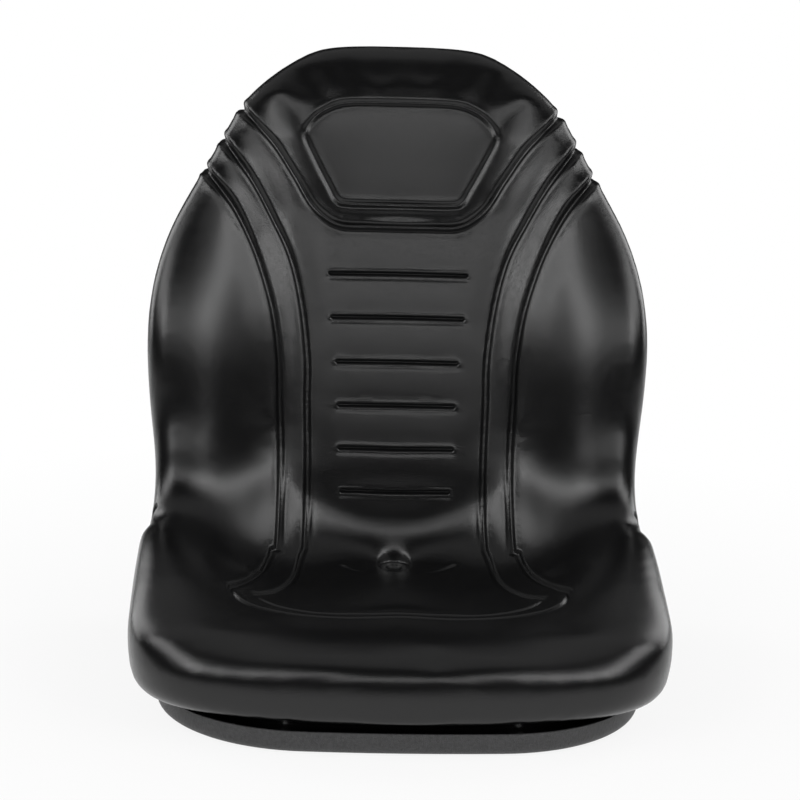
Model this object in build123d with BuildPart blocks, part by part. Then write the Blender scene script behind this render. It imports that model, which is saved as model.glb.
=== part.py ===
"""High-back bucket seat for a garden tractor.

A one-piece foam cushion with a bonded vinyl skin sits on a pressed steel pan that runs under the seat and up
behind the back. Four weld nuts in the pan take the machine's mounting bolts, and a flanged drain tube lets
rain water out of the hollow of the seat.

Frame: +Z up, the front of the seat towards -Y, X across the seat. The origin is the centre of the four
mounting holes, on the underside of the pan.
"""
import os
from math import atan2, cos, degrees, exp, log, radians, sin, sqrt, tan

from build123d import *

# Mounting pattern and weld nuts
bolt_spacing_x = 203.2
bolt_spacing_y = 254.0
bolt_hole_radius = 4.5
nut_across_flats = 13.0
nut_height = 6.5
nut_bore_radius = 4.2
nut_pocket_clearance = 1.0

# Pressed pan
pan_wall = 2.0
pan_rim_height = 20.0
pan_shadow_gap = 6.0
pan_inset = 13.0
pan_front_inset = 7.0
pan_bow_radius = 1500.0
pan_corner_radius = 140.0
pan_edge_radius = 9.0
pan_inner_chamfer = 4.1
pan_foam_clearance = 0.3
foam_foot_inset = 22.0
swage_count = 3
swage_pitch = 110.0
swage_width = 30.0
swage_length = 210.0
swage_depth = 5.0
swage_draft = 25.0
swage_height_on_back = 215.0

# Side view of the pan line, on which the padding lies
bend_start = 147.0
bend_radius = 100.0
recline = 11.0

# Outline of the cushion, seen from above and square to the back. The flank of the back is given in shares of
# the widest half width and of the back's length.
seat_width = 482.0
waist_draw_in = 9.0
wing_flare = 4.0
cushion_front = 168.0
front_bow_radius = 800.0
corner_radius = 92.0
waist_run = 55.0
waist_height = 20.0
back_length = 469.0
wing_share = 0.367
shoulder_shares = ((0.931, 0.589), (0.784, 0.742), (0.6, 0.896))
crown_share = (0.412, 0.975)

# Padding: thickness over the pan line in the middle, and how far the side bolsters rise over it
seat_end = 70.0
back_start = 90.0
seat_padding = 60.0
seat_bolster = 54.0
front_profile = (
    (-37.0, 10.0, 2.0, 70.0),
    (18.0, 58.0, 6.0, 70.0),
    (63.0, 67.0, 13.0, 75.0),
    (123.0, 66.0, 28.0, 85.0),
    (168.0, 63.0, 44.0, 100.0),
)
lower_back_padding = 80.0
back_taper = 3.5
wing_lean = 1.8
wing_bolster = 50.0
back_profile = (
    (0.367, 44.0, 0.0, 105.0),
    (0.589, 33.0, 2.0, 95.0),
    (0.742, 21.0, 8.0, 80.0),
    (0.896, 10.0, 22.0, 60.0),
    (1.045, 4.0, 52.0, 45.0),
)
hollow_blend = 20.0
fold_blend = 5.0
fan_turns = (18.0, 34.0, 52.0)
flat_half = 105.0
crest_inset = 27.0
crest_drop = 8.0
section_overrun = 25.0
section_parameters = (0, 0.05, 0.11, 0.17, 0.235, 0.3, 0.5, 0.7, 0.765, 0.83, 0.89, 0.95, 1)
upper_rim_radius = 22.0
lower_rim_radius = 22.0

# Pressed grooves in the skin
groove_width = 3.2
groove_depth = 2.6
slot_count = 6
slot_pitch = 43.2
lowest_slot = 25.0
lowest_slot_half = 55.5
highest_slot_half = 71.0

# Drain in the hollow of the seat
drain_y = 134.0
drain_tube_radius = 6.0
drain_tube_wall = 1.2
drain_flange_radius = 7.8
drain_flange_thickness = 2.0
drain_recess_radius = 17.0
drain_recess_depth = 7.0
drain_slot_width = 1.5
drain_clearance = 0.3

# Places worked out from the dimensions above
underside = pan_rim_height + pan_shadow_gap
seat_half = seat_width / 2
waist_half = seat_half - waist_draw_in
wing_half = seat_half + wing_flare
fan_turn = 90.0 - recline
back_up = Vector(0, sin(radians(recline)), cos(radians(recline)))
back_out = Vector(0, -cos(radians(recline)), sin(radians(recline)))
bend_centre = Vector(0, bend_start, underside + bend_radius)
back_foot = bend_centre - back_out * bend_radius
first_back = back_foot + back_up * back_start
fan_reach = (first_back.Y - seat_end) / cos(radians(recline))
fan_pivot = first_back + back_out * fan_reach
fan_depth = fan_pivot.Z - underside
first_padding = lower_back_padding - back_start * tan(radians(back_taper))
seat_gap = fan_depth - seat_padding
back_gap = (fan_reach - first_padding) * cos(radians(back_taper))
beyond = back_length + 2 * underside
shoulders = [(wing_half * across, back_length * up) for across, up in (*shoulder_shares, crown_share)]
flank = [(waist_half, waist_height), (wing_half, back_length * wing_share), *shoulders]


def back_plane(out):
    """The plane of the back at a distance out from the pan line: local x across, local y up the back."""
    return Plane(origin=back_foot + back_out * out, x_dir=(1, 0, 0), z_dir=back_out)


def station(origin, turn):
    """A cross-section's plane, turned up from the seat: local x across, local y away from the pan line."""
    return Plane(origin=origin, x_dir=(1, 0, 0), z_dir=(0, -cos(radians(turn)), -sin(radians(turn))))


def outline_half(height):
    """Half the width of the back at a height up the back, between the points of its flank."""
    if height >= flank[-1][1]:
        return flank[-1][0]
    for (low_half, low), (high_half, high) in zip(flank, flank[1:]):
        if height <= high:
            return low_half + (high_half - low_half) * (height - low) / (high - low)


def section(plane, middle, bolster, half, flat):
    """One cross-section of the padding: a flat middle that rises to a rounded bolster on each side."""
    crest = half - crest_inset
    right = [(flat, middle)]
    for share in (1 / 3, 2 / 3):
        right.append((flat + (crest - flat) * share, middle + bolster * share**2 * (3 - 2 * share)))
    edge = half + section_overrun
    right += [(crest, middle + bolster), (half, middle + bolster - crest_drop)]
    right.append((edge, middle + bolster - 3.4 * crest_drop))
    points = [(-x, y) for x, y in reversed(right)] + [(0, middle)] + right
    with BuildSketch(plane) as cut:
        with BuildLine():
            add(Edge.make_spline([Vector(x, y) for x, y in points], parameters=section_parameters))
            Polyline(points[-1], (edge, -2 * underside), (-edge, -2 * underside), points[0])
        make_face()
    return cut.sketch


def hollow_corner(turn, seat_gap, back_gap, lean, blend):
    """Distance from the fan's pivot to a seat plane and a back plane that run into each other smoothly."""
    to_seat = seat_gap / cos(radians(turn))
    to_back = back_gap / cos(radians(fan_turn - lean - turn))
    return -blend * log(exp(-to_seat / blend) + exp(-to_back / blend))


def padding_sections():
    """Cross-sections from the front of the seat, round the hollow and up the back."""
    sections = []
    for behind_front, middle, bolster, flat in front_profile:
        plane = station((0, behind_front - cushion_front, underside), 0)
        sections.append(section(plane, middle, bolster, seat_half, flat))
    plane = station((0, seat_end, underside), 0)
    sections.append(section(plane, seat_padding, seat_bolster, seat_half, flat_half))

    crest_gap = seat_gap - seat_bolster
    wing_gap = (fan_reach - first_padding - wing_bolster) * cos(radians(back_taper + wing_lean))
    for turn in fan_turns:
        middle = hollow_corner(turn, seat_gap, back_gap, back_taper, hollow_blend)
        crest = hollow_corner(turn, crest_gap, wing_gap, back_taper + wing_lean, fold_blend)
        out = Vector(0, -sin(radians(turn)), cos(radians(turn)))
        plane = station(fan_pivot - out * fan_depth, turn)
        sections.append(section(plane, fan_depth - middle, middle - crest, waist_half, flat_half))

    back_stations = [(back_start, wing_bolster, outline_half(back_start), flat_half)]
    for share, bolster, spread, flat in back_profile:
        height = back_length * share
        back_stations.append((height, bolster, outline_half(height) + spread, flat))
    for height, bolster, half, flat in back_stations:
        middle = lower_back_padding - height * tan(radians(back_taper))
        sections.append(section(station(back_foot + back_up * height, fan_turn), middle, bolster, half, flat))
    return sections


def side_slab(low, high):
    """All that lies between two heights over the pan line, in the side view, across the whole seat."""
    front = -2 * cushion_front
    up = Vector(back_up.Y, back_up.Z) * beyond
    with BuildPart() as slab:
        with BuildSketch(Plane.YZ.offset(-seat_width)):
            with BuildLine():
                centre = (bend_centre.Y, bend_centre.Z)
                floor = Line((front, underside + low), (bend_start, underside + low))
                floor_bend = CenterArc(centre, bend_radius - low, -90, fan_turn)
                floor_back = Line(floor_bend @ 1, (floor_bend @ 1) + up)
                if high < bend_radius:
                    roof_bend = CenterArc(centre, bend_radius - high, -90, fan_turn)
                    roof_back = Line(roof_bend @ 1, (roof_bend @ 1) + up)
                    roof = Line((front, underside + high), roof_bend @ 0)
                    Line(floor @ 0, roof @ 0)
                    Line(floor_back @ 1, roof_back @ 1)
                else:
                    Polyline(floor_back @ 1, (front, (floor_back @ 1).Y), floor @ 0)
            make_face()
        extrude(amount=2 * seat_width)
    return slab.part


def seat_outline(half, front, bow, corner, waist):
    """The seat from above: a bowed front with round corners, and sides that draw in to the waist."""
    side_y = bow - front - sqrt(bow**2 - half**2)
    waist_y = seat_end + waist_run
    rear_y = bend_start + bend_radius
    with BuildSketch() as outline:
        with BuildLine():
            bowed = ThreePointArc((-half, side_y), (0, -front), (half, side_y))
            for end, side in ((bowed @ 0, -1), (bowed @ 1, 1)):
                if half > waist:
                    Line(end, (side * half, seat_end))
                    Spline((side * half, seat_end), (side * waist, waist_y), tangents=[(0, 1), (0, 1)])
                    Line((side * waist, waist_y), (side * waist, rear_y))
                else:
                    Line(end, (side * waist, rear_y))
            Line((-waist, rear_y), (waist, rear_y))
        make_face()
        fillet(outline.vertices().group_by(Axis.Y)[0], corner)
    return outline.sketch


def back_outline(plane, inset):
    """The back, square to it: straight at the waist, widest at the wings, then shoulders and an arched top."""
    waist = waist_half - inset
    points = [(waist, waist_height), (wing_half - inset, back_length * wing_share)]
    for half, height in shoulders:
        points.append((half * (1 - inset / wing_half), height * (1 - inset / back_length)))
    points.append((0, back_length - inset))
    foot = -bend_radius - underside
    with BuildSketch(plane) as outline:
        with BuildLine():
            side = Spline(*points, tangents=[(0, 1), (-1, 0)])
            Polyline((0, foot), (waist, foot), side @ 0)
            mirror(about=Plane.YZ)
        make_face()
    return outline.sketch


def height_over_pan_line(point):
    """How far a point lies over the pan line, square to it."""
    if point.Y < bend_start:
        return point.Z - underside
    if (point - back_foot).dot(back_up) < 0:
        return bend_radius - Vector(0, point.Y - bend_centre.Y, point.Z - bend_centre.Z).length
    return (point - back_foot).dot(back_out)


def rim_at_height(part, height):
    """The edges round a face that lies at one height over the pan line, without the seams across it."""
    level = part.edges().filter_by(
        lambda edge: all(abs(height_over_pan_line(edge @ u) - height) < 0.01 for u in (0.0, 0.5, 1.0))
    )
    return level - part.edges().filter_by(Axis.X)


def cushion_block():
    """The padding before its grooves: the padding sections, cut to the two outlines, with a rolled upper rim."""
    roof = underside + seat_padding + seat_bolster + section_overrun
    seat = seat_outline(seat_half, cushion_front, front_bow_radius, corner_radius, waist_half)
    with BuildPart() as padding:
        loft(padding_sections())
    with BuildPart() as block:
        extrude(seat, amount=roof)
        extrude(back_outline(back_plane(-underside), 0), amount=underside + 2 * bend_radius)
        add(side_slab(0, beyond), mode=Mode.INTERSECT)
        add(padding.part, mode=Mode.INTERSECT)
        upper_rim = block.faces().sort_by(SortBy.AREA)[-1].edges()
        fillet(upper_rim, upper_rim_radius)
    return block.part


def pan_dish(inset, low, high):
    """The pan's form, drawn in by inset, between two heights over the pan line.

    The outside has a round edge, and forms drawn in from it a flat one that leaves the wall its thickness.
    """
    half = waist_half - pan_inset - inset
    front = cushion_front - pan_front_inset - inset
    with BuildPart() as dish:
        extrude(seat_outline(half, front, pan_bow_radius, pan_corner_radius - inset, half), amount=fan_depth)
        extrude(back_outline(back_plane(-2 * underside), pan_inset + inset), amount=4 * underside)
        add(side_slab(low, high), mode=Mode.INTERSECT)
        edge = rim_at_height(dish.part, low)
        if inset:
            chamfer(edge, pan_inner_chamfer)
        else:
            fillet(edge, pan_edge_radius)
    return dish.part


def swages(grow, height):
    """Upright stiffening swages pressed into the back of the pan, grown by a wall and raised to a height."""
    places = [((column - (swage_count - 1) / 2) * swage_pitch, swage_height_on_back) for column in range(swage_count)]
    with BuildPart() as pressed:
        with BuildSketch(back_plane(-underside)):
            with Locations(*places):
                SlotOverall(swage_length + 2 * grow, swage_width + 2 * grow, rotation=90)
        extrude(amount=height, taper=swage_draft)
    return pressed.part


def slots(depth):
    """The cross slots pressed into the middle of the back, from a depth under its face outwards."""
    lean = recline + back_taper
    out = Vector(0, -cos(radians(lean)), sin(radians(lean)))
    face = Plane(origin=back_foot + back_out * lower_back_padding, x_dir=(1, 0, 0), z_dir=out)
    with BuildPart() as pressed:
        with BuildSketch(face.offset(-depth)):
            for row in range(slot_count):
                half = lowest_slot_half + (highest_slot_half - lowest_slot_half) * row / (slot_count - 1)
                with Locations((0, lowest_slot + row * slot_pitch)):
                    SlotOverall(2 * half, groove_width)
        extrude(amount=bend_radius)
    return pressed.part


bolt_places = GridLocations(bolt_spacing_x, bolt_spacing_y, 2, 2)

# Drain: the tube's flange lies in a recess of the skin at the lowest place of the hollow
drain_turn = degrees(atan2(drain_y - seat_end, seat_gap))
drain_reach = hollow_corner(drain_turn, seat_gap, back_gap, back_taper, hollow_blend)
drain_seat = fan_pivot.Z - drain_reach * cos(radians(drain_turn)) - drain_recess_depth
with BuildPart() as drain_recess:
    with BuildSketch(Plane.XZ.offset(-drain_y)):
        with BuildLine():
            bottom = drain_flange_radius + drain_clearance
            rim_z = drain_seat + drain_recess_depth
            Polyline((0, drain_seat), (bottom, drain_seat), (drain_recess_radius, rim_z),
                     (drain_recess_radius, rim_z + drain_recess_radius), (0, rim_z + drain_recess_radius), close=True)
        make_face()
    revolve(axis=Axis((0, drain_y, 0), (0, 0, 1)))
    with Locations((0, drain_y, drain_seat)):
        Cylinder(drain_tube_radius + drain_clearance, drain_seat, align=(Align.CENTER, Align.CENTER, Align.MAX))

# Foam foot: the part of the cushion that stands in the pan, clear of the swages and the weld nuts
floor_gap = pan_wall + pan_foam_clearance
with BuildPart() as foot:
    add(pan_dish(foam_foot_inset, floor_gap - underside, lower_rim_radius))
    add(swages(floor_gap, swage_depth + floor_gap), mode=Mode.SUBTRACT)
    with BuildSketch():
        with bolt_places:
            Circle(nut_across_flats / sqrt(3) + nut_pocket_clearance)
    extrude(amount=pan_wall + nut_height + nut_pocket_clearance, mode=Mode.SUBTRACT)

# Cushion: moulded foam with its skin, in one piece, filling the pan
with BuildPart() as cushion:
    add(cushion_block())
    fillet(rim_at_height(cushion.part, 0), lower_rim_radius)
    add(foot.part)
    add(drain_recess.part, mode=Mode.SUBTRACT)
    add(slots(groove_depth), mode=Mode.SUBTRACT)

# Seat pan: one pressing, with the bolt holes, the drain hole and the swages behind the back
with BuildPart() as seat_pan:
    add(pan_dish(0, -underside, -pan_shadow_gap))
    add(pan_dish(pan_wall, pan_wall - underside, -pan_shadow_gap), mode=Mode.SUBTRACT)
    add(swages(pan_wall, swage_depth + pan_wall))
    add(swages(0, swage_depth), mode=Mode.SUBTRACT)
    with BuildSketch():
        with bolt_places:
            Circle(bolt_hole_radius)
        with Locations((0, drain_y)):
            Circle(drain_tube_radius + drain_clearance)
    extrude(amount=pan_wall, mode=Mode.SUBTRACT)

# Weld nuts on the inside of the pan, one over each bolt hole
with BuildPart() as mounting_nuts:
    with BuildSketch(Plane.XY.offset(pan_wall)):
        with bolt_places:
            RegularPolygon(nut_across_flats / 2, 6, major_radius=False)
            Circle(nut_bore_radius, mode=Mode.SUBTRACT)
    extrude(amount=nut_height)

# Drain insert: a flanged tube with four slots in its top
with BuildPart() as drain_insert:
    with Locations((0, drain_y, drain_seat)):
        Cylinder(drain_flange_radius, drain_flange_thickness, align=(Align.CENTER, Align.CENTER, Align.MIN))
    chamfer(drain_insert.edges().sort_by(Axis.Z)[-1], drain_flange_thickness / 3)
    with Locations((0, drain_y, drain_seat)):
        Cylinder(drain_tube_radius, drain_seat - pan_wall / 2, align=(Align.CENTER, Align.CENTER, Align.MAX))
        Cylinder(drain_tube_radius - drain_tube_wall, drain_seat, align=(Align.CENTER, Align.CENTER, Align.MAX),
                 mode=Mode.SUBTRACT)
    with BuildSketch(Plane.XY.offset(drain_seat)):
        with Locations((0, drain_y)):
            with PolarLocations(drain_tube_radius / 2, 4, start_angle=45):
                Rectangle(drain_tube_radius / 2, drain_slot_width)
    extrude(amount=drain_flange_thickness, mode=Mode.SUBTRACT)

pieces = {"cushion": cushion, "seat_pan": seat_pan, "mounting_nuts": mounting_nuts, "drain_insert": drain_insert}
os.makedirs("parts", exist_ok=True)
for name, piece in pieces.items():
    piece.part.label = name
    export_step(piece.part, f"parts/{name}.step")
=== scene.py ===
# %% [markdown]
# # A tractor seat, dressed for its portrait
# The seat has four pieces: a padded cushion, a pressed pan, four weld nuts and a drain insert. The three hard
# pieces come from the CAD frame as they are and get new finishes. The cushion is soft, so it is made anew from
# a copy of its solid: remeshed, swelled by a short cloth simulation, and then pressed with the seat's grooves.

from math import cos, pi, radians, sin

import bpy
import numpy as np
from mathutils import Matrix, Vector
from mathutils.bvhtree import BVHTree
from mathutils.kdtree import KDTree


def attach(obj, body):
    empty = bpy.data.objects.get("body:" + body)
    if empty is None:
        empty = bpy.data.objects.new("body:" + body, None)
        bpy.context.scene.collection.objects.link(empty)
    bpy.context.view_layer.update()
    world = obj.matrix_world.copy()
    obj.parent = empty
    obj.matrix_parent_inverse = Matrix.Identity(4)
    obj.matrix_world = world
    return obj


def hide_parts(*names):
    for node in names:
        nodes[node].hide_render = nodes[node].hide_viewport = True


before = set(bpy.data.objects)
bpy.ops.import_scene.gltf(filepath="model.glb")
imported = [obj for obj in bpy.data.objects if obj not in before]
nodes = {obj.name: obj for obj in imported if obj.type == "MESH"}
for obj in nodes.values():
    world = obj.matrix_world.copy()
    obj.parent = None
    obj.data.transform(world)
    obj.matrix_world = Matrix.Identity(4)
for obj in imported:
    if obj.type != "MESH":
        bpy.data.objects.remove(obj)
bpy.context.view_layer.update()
print("pieces from the frame:", sorted(nodes))


# %% [markdown]
# ## The camera
# The picture was taken from in front, a little above the seat, with a long lens. A long lens flattens the
# seat, so the camera stands about two metres away. It is rolled by a degree and a half, as in the picture.

# %% Camera at the photograph's angle
azimuth, elevation, roll = radians(-2.375), radians(12.0), radians(1.6)
back = Vector((sin(azimuth) * cos(elevation), -cos(azimuth) * cos(elevation), sin(elevation)))
across = Vector((cos(azimuth), sin(azimuth), 0))
upright = back.cross(across)
right = across * cos(roll) + upright * sin(roll)
top = upright * cos(roll) - across * sin(roll)
view = Matrix((right, top, back)).transposed().to_4x4()
camera_place = (-0.0844, -1.9285, 0.6867)
view.translation = camera_place
bpy.ops.object.camera_add()
camera = bpy.context.object
camera.name = "portrait_camera"
camera.matrix_world = view
camera.data.lens = 99
camera.data.sensor_width = 36
bpy.context.scene.camera = camera
print("camera stands", round(view.translation.length, 2), "m from the bolt pattern")


# %% [markdown]
# ## Sockets as numbers
# Shader maths reads best as plain sums. This small class wraps a socket, so that adding or multiplying two
# sockets adds a Math node behind the scenes. The finish class makes any other node in one call.

# %% Socket maths and a finish to build on
class Value:
    """A shader socket that can be used in sums."""

    def __init__(self, finish, socket):
        self.finish = finish
        self.socket = socket

    def math(self, operation, *others):
        inputs = {place: other for place, other in enumerate(others)}
        return self.finish.node("ShaderNodeMath", {"operation": operation}, inputs)[0]

    def __add__(self, other):
        return self.math("ADD", self, other)

    def __radd__(self, other):
        return self.math("ADD", other, self)

    def __sub__(self, other):
        return self.math("SUBTRACT", self, other)

    def __rsub__(self, other):
        return self.math("SUBTRACT", other, self)

    def __mul__(self, other):
        return self.math("MULTIPLY", self, other)

    def __rmul__(self, other):
        return self.math("MULTIPLY", other, self)

    def clipped(self):
        return self.math("MINIMUM", self.math("MAXIMUM", self, 0.0), 1.0)


class Finish:
    """A material with a Principled shader, and one method that adds any node."""

    def __init__(self, name):
        self.material = bpy.data.materials.new(name)
        self.material.use_nodes = True
        self.tree = self.material.node_tree
        self.shader = self.tree.nodes["Principled BSDF"]
        self.place = self.node("ShaderNodeTexCoord", {}, {})["Object"]

    def node(self, kind, settings, inputs):
        made = self.tree.nodes.new(kind)
        for key, value in settings.items():
            if key == "stops":
                for stop, (position, colour) in zip(made.color_ramp.elements, value):
                    stop.position = position
                    stop.color = colour
            else:
                setattr(made, key, value)
        for key, value in inputs.items():
            self.link(value, made.inputs[key])
        return Outputs(self, made)

    def link(self, value, socket):
        if isinstance(value, Value):
            self.tree.links.new(value.socket, socket)
        else:
            socket.default_value = value

    def set(self, **values):
        for key, value in values.items():
            self.link(value, self.shader.inputs[key.replace("_", " ")])


class Outputs:
    """The outputs of a node, each as a Value."""

    def __init__(self, finish, node):
        self.finish = finish
        self.made = node

    def __getitem__(self, key):
        return Value(self.finish, self.made.outputs[key])


print("shader helpers ready")


# %% [markdown]
# ## Grooves, as lines on the seat
# The skin is pressed into the foam along a few lines: six cross slots, the line and the panel of the headrest,
# and two lines a side that sweep down the back and turn out into wide loops on the seat. Each is written as a
# handful of points on one side of the seat, in millimetres: across and up the back, or across and along it.
# A slot is given by its height and half its length. Two short creases lie beside the drain, and a fold marks
# each side of the waist.

# %% The places of the grooves
back_foot = Vector((0, 0.24516, 0.10692))
recline = radians(11.0)
back_up = Vector((0, sin(recline), cos(recline)))
back_out = Vector((0, -cos(recline), sin(recline)))

slot_rows = ((25.9, 52.5), (68.2, 55.0), (110.4, 56.0), (153.0, 58.5), (197.0, 64.0), (240.2, 67.0))
headrest_line = ((170, 416), (155.5, 398.5), (125, 367), (104, 336), (88.5, 310), (73.5, 295.5), (57, 288),
                 (30, 287.2), (0, 287.0))
inner_back = ((189, 384), (175, 367.5), (147, 332.5), (124, 292), (106.5, 255), (95, 209.5), (88.5, 156),
              (88, 113), (86.5, 65.5), (86, 16.3), (86.5, -13), (87.5, -28))
inner_seat = ((91, 118), (97, 80), (107, 44), (122, 8), (131, -8), (126, -20), (114, -31), (97, -37),
              (69, -40), (30, -41), (0, -41.3))
outer_back = ((204, 353), (191, 336.7), (165, 307), (146, 272), (133, 238), (122, 199), (116, 156),
              (114.6, 114.6), (112.5, 65), (112, 16), (112.5, -13), (113.5, -28))
outer_seat = ((118, 112), (126, 76), (137, 35), (146, 2), (152, -16), (150.5, -32), (142, -46),
              (125, -52.5), (95, -54.5), (40, -55), (0, -55))
panel_line = ((0, 411), (52, 410), (76, 402), (91, 388), (94.5, 375), (84, 352), (70, 326), (62, 313),
              (50, 309.5), (0, 309))
crease_left = ((-50, 116), (-38, 108), (-22, 104))
crease_right = ((22, 104), (38, 108), (57, 118))
waist_fold = ((224, 113, 141), (231, 111, 137), (235, 110, 128), (236, 110, 112))


def smooth_line(points, step=1.0):
    """Points about a step apart along a smooth curve through the given ones."""
    points = np.array(points, float)
    ends = np.vstack([2 * points[0] - points[1], points, 2 * points[-1] - points[-2]])
    curve = []
    for before, start, end, after in zip(ends, ends[1:], ends[2:], ends[3:]):
        count = max(2, int(np.linalg.norm(end - start) / step))
        bend = 2 * before - 5 * start + 4 * end - after
        twist = 3 * start - before - 3 * end + after
        for t in np.arange(count) / count:
            curve.append(0.5 * (2 * start + (end - before) * t + bend * t**2 + twist * t**3))
    return np.array(curve + [points[-1]]) / 1000


print("slots:", len(slot_rows), "points on the headrest's line:", len(smooth_line(headrest_line)))


# %% [markdown]
# ## The cushion's body
# On the real seat a vinyl skin is bonded to moulded foam. A copy of the solid is merged, remeshed to even
# quads and smoothed, which keeps its true shape where sculpting anew would lose it. Voxels of five millimetres
# keep the rolled rims round and drop the slots, which come back later as finer grooves.

# %% Copy, merge and remesh
def work_on(piece):
    """Makes one piece the only selected and active one."""
    bpy.ops.object.select_all(action="DESELECT")
    piece.select_set(True)
    bpy.context.view_layer.objects.active = piece


def apply_modifier(piece, kind, **settings):
    """Adds a modifier, sets it and applies it."""
    work_on(piece)
    modifier = piece.modifiers.new(kind.lower(), kind)
    for key, value in settings.items():
        setattr(modifier, key, value)
    bpy.ops.object.modifier_apply(modifier=modifier.name)


def corners(piece):
    """The piece's vertices as an array."""
    places = np.empty(len(piece.data.vertices) * 3)
    piece.data.vertices.foreach_get("co", places)
    return places.reshape(-1, 3)


def move_corners(piece, places):
    """Puts the piece's vertices at new places."""
    piece.data.vertices.foreach_set("co", places.ravel())
    piece.data.update()


def corner_normals(piece):
    """The piece's vertex normals as an array."""
    directions = np.empty(len(piece.data.vertices) * 3)
    piece.data.vertex_normals.foreach_get("vector", directions)
    return directions.reshape(-1, 3)


rim_height = 0.026
bend_radius = 0.1
bend_y, bend_z = 0.147, 0.126


def height_over_pan(places):
    """How far each point lies over the line of the pan's rim, square to it, in the side view."""
    y, z = places[:, 1], places[:, 2]
    over_seat = z - rim_height
    over_bend = bend_radius - np.hypot(y - bend_y, z - bend_z)
    up = (y - back_foot.y) * back_up.y + (z - back_foot.z) * back_up.z
    over_back = (y - back_foot.y) * back_out.y + (z - back_foot.z) * back_out.z
    return np.where(y < bend_y, over_seat, np.where(up < 0, over_bend, over_back))


voxel = 0.005
merge_within = 0.00002
cushion = bpy.data.objects.new("padded_cushion", nodes["cushion"].data.copy())
bpy.context.collection.objects.link(cushion)
cushion.data.materials.clear()
work_on(cushion)
bpy.ops.object.mode_set(mode="EDIT")
bpy.ops.mesh.select_all(action="SELECT")
bpy.ops.mesh.remove_doubles(threshold=merge_within)
bpy.ops.object.mode_set(mode="OBJECT")
apply_modifier(cushion, "REMESH", mode="VOXEL", voxel_size=voxel)
apply_modifier(cushion, "SMOOTH", factor=0.5, iterations=6)
print("cushion after the remesh:", len(cushion.data.vertices), "points")


# %% [markdown]
# ## Lines laid on the skin
# Each line is dropped onto the cushion: lines of the back fall square to it, lines of the seat fall straight
# down. The same points then hold the skin down in the simulation and guide the grooves after it.

# %% Dropping the lines onto the cushion
def surface(piece):
    """A search tree of the piece's faces."""
    return BVHTree.FromObject(piece, bpy.context.evaluated_depsgraph_get())


drop_from = 0.25
deepest_drop = 0.24
above_seat = 0.3


def laid_on_back(skin, points):
    """Points of a line across and up the back, dropped onto the skin."""
    laid = []
    for x, s in smooth_line(points):
        start = back_foot + back_up * s + back_out * drop_from + Vector((x, 0, 0))
        place = skin.ray_cast(start, -back_out)[0]
        if place is not None and (place - start).length < deepest_drop:
            laid.append(place)
    return laid


def laid_on_seat(skin, points):
    """Points of a line across and along the seat, dropped onto the skin."""
    laid = []
    for x, y in smooth_line(points):
        place = skin.ray_cast(Vector((x, y, above_seat)), Vector((0, 0, -1)))[0]
        if place is not None:
            laid.append(place)
    return laid


def bridged(skin, first, second):
    """Two runs of points as one, with the gap between them filled along the skin."""
    steps = 24
    between = [skin.find_nearest(first[-1].lerp(second[0], step / steps))[0] for step in range(1, steps)]
    return first + between + second


def round_the_rim(skin, points):
    """The points after any jump past the rim, with more before them, walked over the rim to its far edge."""
    longest_gap, stride, far_edge, most_steps = 0.004, 0.001, 0.012, 90
    gaps = [(after - before).length for before, after in zip(points[:59], points[1:60])]
    jumps = [number for number, gap in enumerate(gaps, 1) if gap > longest_gap]
    points = points[max(jumps, default=0):]
    heading = (points[0] - points[8]).normalized()
    place = points[0]
    walked = []
    while len(walked) < most_steps and (place - back_foot).dot(back_out) > far_edge:
        normal = skin.find_nearest(place)[1]
        heading = (heading - normal * heading.dot(normal)).normalized()
        place = skin.find_nearest(place + heading * stride)[0]
        walked.insert(0, place)
    return walked + points


def both_sides(points):
    """The points and their mirror image."""
    return points + [Vector((-p.x, p.y, p.z)) for p in points]


def lay_lines():
    """All grooves as points on the skin: name to a list of points."""
    skin = surface(cushion)
    bow, below = 0.4, 3.2
    slots = []
    bevels = []
    for height, half in slot_rows:
        low = height - below
        slots += laid_on_back(skin, ((-half, height), (0, height + bow), (half, height)))
        bevels += laid_on_back(skin, ((-half, low), (0, low + bow), (half, low)))
    inner = bridged(skin, laid_on_back(skin, inner_back), laid_on_seat(skin, inner_seat))
    outer = bridged(skin, laid_on_back(skin, outer_back), laid_on_seat(skin, outer_seat))
    folds = [skin.find_nearest(Vector(place))[0] for place in smooth_line(waist_fold)]
    return {
        "slots": slots,
        "bevels": bevels,
        "headrest": both_sides(round_the_rim(skin, laid_on_back(skin, headrest_line))),
        "panel": both_sides(laid_on_back(skin, panel_line)),
        "inner": both_sides(round_the_rim(skin, inner)),
        "outer": both_sides(round_the_rim(skin, outer)),
        "creases": laid_on_seat(skin, crease_left) + laid_on_seat(skin, crease_right),
        "folds": both_sides(folds),
    }


def nearest_to(places, points):
    """How far each place lies from the nearest of the points, and which point that is."""
    tree = KDTree(len(points))
    for number, point in enumerate(points):
        tree.insert(point, number)
    tree.balance()
    found = [tree.find(place) for place in places]
    return np.array([hit[2] for hit in found]), np.array([hit[1] for hit in found])


lines = lay_lines()
print({name: len(points) for name, points in lines.items()})


# %% [markdown]
# ## Shaping the moulding
# The mould gives the seat slow curves that flat sections miss. Each is made here by a soft push on the points
# that it concerns, as with a wide sculpting brush. First, every point is placed: how far over the pan it lies,
# how far up the back, how far off the centre, and whether it is on a wing or on the front of the cushion.

# %% Where each point lies
def ease(values, low, high):
    """Rises smoothly from 0 at low to 1 at high."""
    share = np.clip((values - low) / (high - low), 0, 1)
    return share * share * (3 - 2 * share)


def swell_at(heights, centre, spread):
    """A soft hump of height 1 about a centre."""
    return np.exp(-(((heights - centre) / spread) ** 2))


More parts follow.
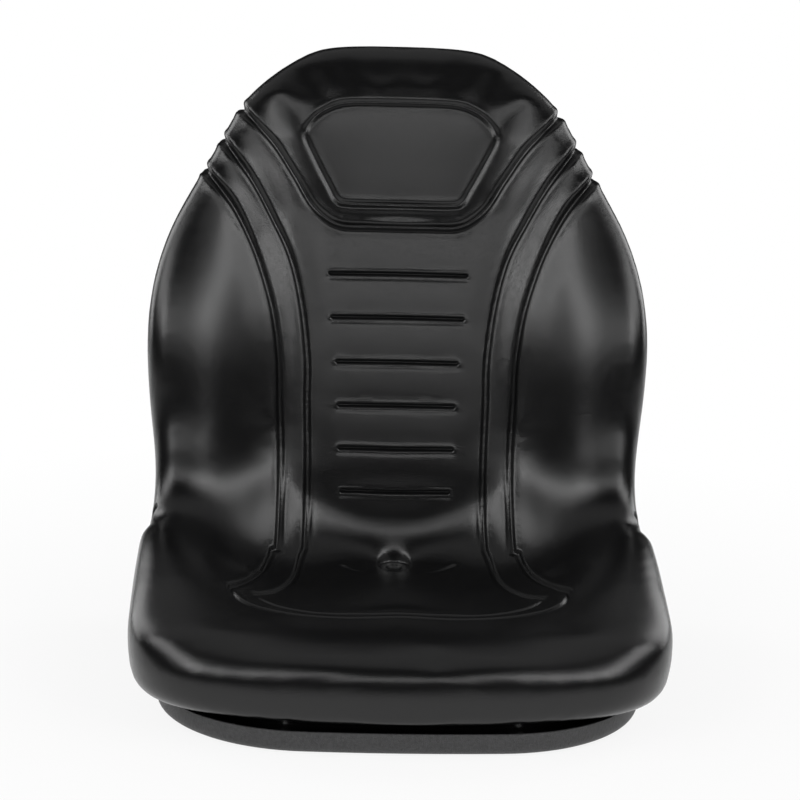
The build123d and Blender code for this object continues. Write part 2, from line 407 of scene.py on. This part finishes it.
places = corners(cushion)
over_pan = height_over_pan(places)
up = (places[:, 1] - back_foot.y) * back_up.y + (places[:, 2] - back_foot.z) * back_up.z
off_centre = np.abs(places[:, 0])
in_wing = ease(off_centre, 0.085, 0.14)
on_front = ease(over_pan, 0.025, 0.055)
print("points on the front:", int((on_front > 0.5).sum()), "of them in the wings:",
      int(((on_front > 0.5) & (in_wing > 0.5)).sum()))


# %% [markdown]
# The back is fullest at the small of the back, and its wings a little higher. At the bottom the wings flare out
# in a roll over the seat. The bend between back and seat fills up towards the sides.

# %% Fuller back, rolled wings and the filled bend
middle_fullness = 0.010
wing_fullness = 0.014
roll_height = 0.011
fill_height = 0.016
fill_y, fill_z = 0.155, 0.100
fill_spread = 0.05
middle_hump = middle_fullness * swell_at(up, 0.110, 0.130)
wing_hump = wing_fullness * swell_at(up, 0.178, 0.082)
fuller = (middle_hump * (1 - in_wing) + wing_hump * in_wing) * ease(up, -0.03, 0.05)
roll = roll_height * swell_at(up, -0.004, 0.046) * in_wing * ease(places[:, 1], 0.03, 0.11)
places += np.outer((fuller + roll) * on_front, np.array(back_out))
from_bend = np.hypot(places[:, 1] - fill_y, places[:, 2] - fill_z)
fill = fill_height * ease(off_centre, 0.015, 0.100) * (1 - 0.6 * ease(off_centre, 0.15, 0.2))
fill *= 1 + 0.4 * swell_at(off_centre, 0.13, 0.035)
fill *= np.exp(-((from_bend / fill_spread) ** 2)) * on_front
places += np.outer(fill, (0, -0.5, 0.87))
print("fullest by", round(float(fuller.max()) * 1000, 1), "mm, filled by", round(float(fill.max()) * 1000, 1))


# %% [markdown]
# Under its front corners the foam draws in, and its lower edge stands out over the pan. The front edge is
# rolled back and its corners droop. The headrest has a low crown, and shoulders and seat are a little wider
# than the solid. A second remesh evens the faces. Smoothing in and out by turns then takes off its steps
# without shrinking it.

# %% Front edge, corners and crown
tuck_depth = 0.0050
foot_reach = 0.008
crown_height = 0.0032
corner_droop = 0.011
side_droop = 0.005
tuck = tuck_depth * (1 - ease(over_pan, 0.002, 0.050)) * ease(over_pan, -0.004, 0.004)
tuck *= (1 - ease(places[:, 1], 0.08, 0.14)) * ease(off_centre, 0.09, 0.2)
outward = np.stack([places[:, 0], np.minimum(places[:, 1] + 0.06, 0)], axis=1)
outward /= np.maximum(np.linalg.norm(outward, axis=1), 0.05)[:, None]
foot = foot_reach * (1 - ease(over_pan, 0.001, 0.016)) * ease(over_pan, -0.006, -0.001)
foot *= (1 - ease(places[:, 1], 0.08, 0.14)) * (1 - 0.85 * ease(off_centre, 0.13, 0.2))
places[:, :2] += outward * (foot - tuck)[:, None]
nose = np.clip((over_pan - 0.020) / 0.035, 0, 1.5) ** 2 * ease(-places[:, 1], 0.105, 0.150)
places[:, 1] += (0.001 + 0.0035 * ease(off_centre, 0.06, 0.14)) * nose
crown = np.clip(1 - (off_centre / 0.105) ** 2, 0, 1) * ease(up, 0.40, 0.46)
places += np.outer(crown_height * crown, np.array(back_up))
on_seat = 1 - ease(places[:, 1], 0.09, 0.15)
droop = corner_droop * ease(off_centre, 0.06, 0.215) * ease(-places[:, 1], 0.03, 0.14)
droop += side_droop * ease(off_centre, 0.185, 0.235) * (1 - ease(places[:, 1], -0.02, 0.06))
places[:, 2] -= droop * ease(over_pan, 0.025, 0.06)
wider = (0.0009 + 0.0024 * on_seat) * ease(off_centre, 0.12, 0.20)
places[:, 0] = places[:, 0] * (1 + 0.02 * ease(up, 0.37, 0.42)) + np.sign(places[:, 0]) * wider
move_corners(cushion, places)
apply_modifier(cushion, "REMESH", mode="VOXEL", voxel_size=voxel)
for _ in range(10):
    apply_modifier(cushion, "SMOOTH", factor=0.5, iterations=1)
    apply_modifier(cushion, "SMOOTH", factor=-0.52, iterations=1)
lines = lay_lines()
print("moulded cushion:", len(cushion.data.vertices), "points")


# %% [markdown]
# ## Swelling the foam
# Foam under a skin stands a little proud between the lines that hold it down. The cushion is drawn in by about
# two millimetres, its underside and its lines are held, and a cloth with pressure inside is run for twenty
# frames. How far a point moves is capped, so the seat keeps its size, and the bend between back and seat stays
# calm, because a cloth wrinkles there as thick foam doesn't.

# %% Cloth with pressure
draw_in = 0.0022
cap = 0.0046
held_foot = 0.012
held_beside = 0.005
calm_y, calm_z = 0.140, 0.130
calm_spread = 0.075
frames = 20
start = corners(cushion)
over_pan = height_over_pan(start)
from_bend = np.hypot(start[:, 1] - calm_y, start[:, 2] - calm_z)
free = np.clip((over_pan - held_foot) / 0.03, 0, 1) * (1 - np.exp(-((from_bend / calm_spread) ** 4)))
start = start - corner_normals(cushion) * (draw_in * free)[:, None]
move_corners(cushion, start)
held_lines = lines["headrest"] + lines["inner"] + lines["outer"] + lines["slots"]
near_line, _ = nearest_to(start, held_lines)
held = cushion.vertex_groups.new(name="held")
for number in np.nonzero((near_line < held_beside) | (over_pan < held_foot))[0]:
    held.add([int(number)], 1.0, "REPLACE")
cloth = cushion.modifiers.new("swell", "CLOTH")
cloth.settings.quality = 4
cloth.settings.mass = 0.4
cloth.settings.tension_stiffness = 30
cloth.settings.compression_stiffness = 30
cloth.settings.bending_stiffness = 12
cloth.settings.use_pressure = True
cloth.settings.uniform_pressure_force = 4
cloth.settings.effector_weights.gravity = 0
cloth.settings.vertex_group_mass = "held"
cloth.collision_settings.use_collision = False
for number in range(1, frames + 1):
    bpy.context.scene.frame_set(number)
work_on(cushion)
bpy.ops.object.modifier_apply(modifier="swell")
bpy.context.scene.frame_set(1)
moved = corners(cushion) - start
reach = np.linalg.norm(moved, axis=1)
print("swelled by", round(float(np.median(reach[free > 0.5])) * 1000, 2), "mm, at most",
      round(float(reach.max()) * 1000, 2))
moved *= (free * cap * np.tanh(reach / cap) / np.maximum(reach, 1e-9))[:, None]
move_corners(cushion, start + moved)
cushion.vertex_groups.clear()
apply_modifier(cushion, "SMOOTH", factor=0.5, iterations=3)


# %% [markdown]
# ## Finer faces where the grooves run
# A groove five millimetres wide needs faces of about one millimetre. Only the faces near a line are divided,
# twice, and the slots and the drain's edge once more, so that the rest of the cushion stays light.

# %% Dividing the faces along the lines
def divide_near(piece, points, reach):
    """Divides the faces whose middle lies within reach of the points."""
    middles = np.empty(len(piece.data.polygons) * 3)
    piece.data.polygons.foreach_get("center", middles)
    near = nearest_to(middles.reshape(-1, 3), points)[0] < reach
    work_on(piece)
    bpy.ops.object.mode_set(mode="EDIT")
    bpy.ops.mesh.select_mode(type="FACE")
    bpy.ops.mesh.select_all(action="DESELECT")
    bpy.ops.object.mode_set(mode="OBJECT")
    piece.data.polygons.foreach_set("select", near)
    bpy.ops.object.mode_set(mode="EDIT")
    bpy.ops.mesh.subdivide(number_cuts=1, smoothness=0.9)
    bpy.ops.object.mode_set(mode="OBJECT")
    return int(near.sum())


lines = lay_lines()
every_line = [point for points in lines.values() for point in points]
drain_y = 0.134
ring_radius = 0.0165
ring_height = 0.088
drain_ring = []
for turn in np.linspace(0, 2 * pi, 60):
    drain_ring.append(Vector((ring_radius * cos(turn), drain_y + ring_radius * sin(turn), ring_height)))
wide_reach, narrow_reach, slot_reach = 0.0085, 0.0052, 0.003
for reach in (wide_reach, narrow_reach):
    divide_near(cushion, every_line + drain_ring, reach)
divide_near(cushion, lines["slots"] + drain_ring, slot_reach)
print("cushion with finer lines:", len(cushion.data.polygons), "faces")


# %% [markdown]
# ## Pressing the grooves
# Each point near a line is pushed into the foam by a smooth trough, with a slight lip beside it where the foam
# stands up. The slots are the deepest and narrowest, with a bevel below each, and the panel and the creases are
# the softest. The long lines deepen where they meet the rim, as the skin is pulled tight there.

# %% Troughs along the lines
def press(piece, points, depth, half_width, lip, rim=0.0):
    """Presses a trough along the points, with a low lip on each side, deeper by rim near the rim."""
    places = corners(piece)
    away, which = nearest_to(places, points)
    at_rim = ease(np.abs(np.array([point.x for point in points])), 0.135, 0.175)[which] * rim
    away = away / (half_width * (1 + 0.35 * at_rim))
    trough = np.exp(-np.abs(away) ** 2.2) * depth * (1 + at_rim)
    ridge = np.exp(-((away - 2.2) / 0.9) ** 2) * lip * (1 + 1.5 * at_rim)
    move_corners(piece, places - corner_normals(piece) * (trough - ridge)[:, None])


troughs = {
    "bevels": dict(depth=0.0009, half_width=0.0028, lip=0.0),
    "slots": dict(depth=0.0034, half_width=0.0015, lip=0.0005),
    "headrest": dict(depth=0.0032, half_width=0.0028, lip=0.0005, rim=0.7),
    "inner": dict(depth=0.0029, half_width=0.0026, lip=0.0005, rim=0.7),
    "outer": dict(depth=0.0029, half_width=0.0026, lip=0.0005, rim=0.7),
    "panel": dict(depth=0.0016, half_width=0.0023, lip=0.0004),
    "creases": dict(depth=0.0008, half_width=0.0022, lip=0.0005),
    "folds": dict(depth=0.0022, half_width=0.0024, lip=0.0004),
}
for name, trough in troughs.items():
    press(cushion, lines[name], **trough)
print("troughs pressed:", len(troughs))


# %% [markdown]
# The seat dips towards the drain, and a round recess holds the flange of the drain insert. Both are pushes on
# the points of the hollow: a soft dip, and then a flat floor with a steep wall round it.

# %% The hollow round the drain
hollow_floor = 0.074
dip_depth = 0.0052
dip_spread = 0.032
recess_floor = 0.0819
recess_from, recess_to = 0.0068, 0.0185
wall_from, wall_to = 0.0150, 0.0176
places = corners(cushion)
from_drain = np.hypot(places[:, 0], places[:, 1] - drain_y)
in_hollow = (places[:, 2] > hollow_floor) & (from_drain < 0.1)
places[:, 2] -= np.where(in_hollow, dip_depth * np.exp(-((from_drain / dip_spread) ** 2)), 0)
in_recess = in_hollow & (from_drain > recess_from) & (from_drain < recess_to)
wall = ease(from_drain, wall_from, wall_to)
places[:, 2] = np.where(in_recess, recess_floor + (places[:, 2] - recess_floor) * wall, places[:, 2])
move_corners(cushion, places)
work_on(cushion)
bpy.ops.object.shade_smooth()
print("cushion finished:", len(cushion.data.polygons), "faces")

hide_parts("cushion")
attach(cushion, "root")


# %% [markdown]
# ## Satin vinyl with a leather grain
# The skin is black vinyl with a fine embossed grain: small cells with rounded tops and narrow valleys. Cells
# of a little under two millimetres come from a Voronoi pattern whose places are shaken by noise. The grain also
# makes the valleys duller, and darker as painted shade, and a broad noise varies the sheen as handling does.

# %% Vinyl
vinyl = Finish("black_grained_vinyl")
shake = vinyl.node("ShaderNodeTexNoise", {}, {"Vector": vinyl.place, "Scale": 420.0, "Detail": 2.0})["Color"]
shaken = vinyl.node("ShaderNodeMix", {"data_type": "VECTOR"}, {0: 0.0012, 4: vinyl.place, 5: shake})[1]
cells = vinyl.node("ShaderNodeTexVoronoi", {"feature": "DISTANCE_TO_EDGE"}, {"Vector": shaken, "Scale": 560.0})
grain = (cells["Distance"] * 3.2).clipped()
pores = vinyl.node("ShaderNodeTexNoise", {}, {"Vector": vinyl.place, "Scale": 1900.0, "Detail": 2.0})[0]
handled = vinyl.node("ShaderNodeTexNoise", {}, {"Vector": vinyl.place, "Scale": 9.0, "Detail": 3.0})[0]
relief = grain + pores * 0.35
bump = vinyl.node("ShaderNodeBump", {}, {"Strength": 0.26, "Distance": 0.0002, "Height": relief})[0]
# The colour is darker in the grain's valleys than on the cell tops: painted shade in the embossing.
valley_shaded_tone = vinyl.node("ShaderNodeMix", {"data_type": "RGBA"},
                  {0: grain, 6: (0.0024, 0.0024, 0.0026, 1), 7: (0.0046, 0.0046, 0.0048, 1)})[2]
vinyl.set(Base_Color=valley_shaded_tone, Roughness=0.26 - grain * 0.04 + (handled - 0.5) * 0.05, Normal=bump)
vinyl.shader.inputs["Specular IOR Level"].default_value = 0.5
cushion.data.materials.append(vinyl.material)
print("vinyl nodes:", len(vinyl.tree.nodes))


# %% [markdown]
# ## Hard finishes
# The pan has a matt powder coat with a coarse texture, the drain insert is moulded plastic, and the weld nuts
# are bright zinc. The pan and the insert each get a bump, and all three a roughness of their own, because one
# flat colour looks like a model.

# %% Powder coat, plastic and zinc
coat = Finish("textured_powder_coat")
orange_peel = coat.node("ShaderNodeTexNoise", {}, {"Vector": coat.place, "Scale": 330.0, "Detail": 4.0})[0]
specks = coat.node("ShaderNodeTexVoronoi", {}, {"Vector": coat.place, "Scale": 900.0})["Distance"]
coat_relief = orange_peel + specks * 0.6
coat_bump = coat.node("ShaderNodeBump", {}, {"Strength": 1.0, "Distance": 0.0007, "Height": coat_relief})[0]
coat_tone = coat.node("ShaderNodeMix", {"data_type": "RGBA"},
                      {0: orange_peel, 6: (0.012, 0.012, 0.0125, 1), 7: (0.085, 0.085, 0.087, 1)})[2]
coat.set(Base_Color=coat_tone, Roughness=0.52 + (orange_peel - 0.5) * 0.3, Normal=coat_bump)

plastic = Finish("moulded_black_plastic")
frost = plastic.node("ShaderNodeTexNoise", {}, {"Vector": plastic.place, "Scale": 1500.0, "Detail": 2.0})[0]
plastic_bump = plastic.node("ShaderNodeBump", {}, {"Strength": 0.2, "Distance": 0.0001, "Height": frost})[0]
plastic_tone = plastic.node("ShaderNodeMix", {"data_type": "RGBA"},
                            {0: frost, 6: (0.018, 0.018, 0.018, 1), 7: (0.034, 0.034, 0.034, 1)})[2]
plastic.set(Base_Color=plastic_tone, Roughness=0.18 + frost * 0.10, Normal=plastic_bump)

zinc = Finish("bright_zinc")
spangle = zinc.node("ShaderNodeTexNoise", {}, {"Vector": zinc.place, "Scale": 300.0, "Detail": 4.0})[0]
zinc_tone = zinc.node("ShaderNodeMix", {"data_type": "RGBA"},
                      {0: spangle, 6: (0.50, 0.50, 0.50, 1), 7: (0.68, 0.68, 0.67, 1)})[2]
zinc.set(Base_Color=zinc_tone, Roughness=0.28 + spangle * 0.2)
zinc.shader.inputs["Metallic"].default_value = 1.0

for name, finish in (("seat_pan", coat), ("drain_insert", plastic), ("mounting_nuts", zinc)):
    nodes[name].data.materials.clear()
    nodes[name].data.materials.append(finish.material)
print("hard finishes set")


# %% [markdown]
# ## Lamps, world and floor
# A black satin seat is drawn by what it mirrors. A wide soft box hangs in front, above the camera: its lower
# edge makes the dark middle of the back, and its light falls on the upper back and the rolled front edge. A box
# at each side lights the wings, a small one between them gives the front corners a highlight, a panel overhead
# lights the top of the seat, and tall strips behind draw the rims.

# %% Lamps
def soft_lamp(name, place, target, width, height, power):
    """A rectangular lamp at a place, turned to a target."""
    bpy.ops.object.light_add(type="AREA", location=place)
    lamp = bpy.context.object
    lamp.name = name
    lamp.data.shape = "RECTANGLE"
    lamp.data.size = width
    lamp.data.size_y = height
    lamp.data.energy = power
    lamp.rotation_euler = (Vector(target) - Vector(place)).to_track_quat("-Z", "Y").to_euler()
    return lamp


seat_middle = (0, 0.15, 0.3)
soft_lamp("front_box", (0, -2.1, 1.69), seat_middle, 2.7, 0.80, 14.5)
soft_lamp("overhead", (0, 0.9, 2.6), (0, 0.9, 0.0), 4.0, 2.4, 11)
for side, name in ((-1, "left"), (1, "right")):
    soft_lamp(name + "_spot", (1.43 * side, -1.68, 1.48), seat_middle, 0.6, 0.5, 5)
    soft_lamp(name + "_box", (2.08 * side, -0.82, 1.93), seat_middle, 2.6, 1.15, 31)
    soft_lamp(name + "_strip", (1.87 * side, 1.32, 1.1), seat_middle, 1.25, 1.8, 21)


# %% [markdown]
# The world is a dark grey room to the seat and white paper to the camera. The floor is pale and keeps the
# seat's soft shadow. To the camera it fades to white away from the seat, and the seat mirrors it as white
# close by.

# %% World and floor
def white_to_camera(tree, white_shader, room_shader):
    """The white shader for the camera and through clear pieces, the room's shader for all other light."""
    paths = tree.nodes.new("ShaderNodeLightPath")
    looked_at = tree.nodes.new("ShaderNodeMath")
    looked_at.operation = "MAXIMUM"
    tree.links.new(paths.outputs["Is Camera Ray"], looked_at.inputs[0])
    tree.links.new(paths.outputs["Is Transmission Ray"], looked_at.inputs[1])
    mix = tree.nodes.new("ShaderNodeMixShader")
    tree.links.new(looked_at.outputs[0], mix.inputs[0])
    tree.links.new(room_shader, mix.inputs[1])
    tree.links.new(white_shader, mix.inputs[2])
    return mix.outputs[0]


world = bpy.data.worlds.new("studio")
world.use_nodes = True
bpy.context.scene.world = world
soft_grey = world.node_tree.nodes["Background"]
soft_grey.inputs["Color"].default_value = (0.02, 0.02, 0.02, 1)
paper = world.node_tree.nodes.new("ShaderNodeBackground")
paper.inputs["Color"].default_value = (1, 1, 1, 1)
shown = white_to_camera(world.node_tree, paper.outputs[0], soft_grey.outputs[0])
world.node_tree.links.new(shown, world.node_tree.nodes["World Output"].inputs["Surface"])

floor_width = 12
shadow_glow = 0.86
bpy.ops.mesh.primitive_plane_add(size=floor_width)
floor = bpy.context.object
floor.name = "studio_floor"
pale = Finish("pale_floor")
pale.set(Base_Color=(0.86, 0.86, 0.86, 1), Roughness=0.9)
far = pale.node("ShaderNodeVectorMath", {"operation": "LENGTH"}, {0: pale.place})["Value"]
white = pale.node("ShaderNodeEmission", {}, {"Strength": 1.0, "Color": (1, 1, 1, 1)})
glow = ((far - 0.3) * 1.4).clipped() * (1 - shadow_glow) + shadow_glow
nearby = 1.0 - ((far - 0.6) * 1.1).clipped()
rays = pale.node("ShaderNodeLightPath", {}, {})
seen = rays["Is Camera Ray"] + rays["Is Glossy Ray"] * nearby
lit = pale.node("ShaderNodeMixShader", {}, {0: seen * glow})
pale.tree.links.new(pale.shader.outputs[0], lit.made.inputs[1])
pale.tree.links.new(white.made.outputs[0], lit.made.inputs[2])
pale.tree.links.new(lit.made.outputs[0], pale.tree.nodes["Material Output"].inputs["Surface"])
floor.data.materials.append(pale.material)
bpy.context.scene.view_settings.view_transform = "Standard"
print("studio ready")
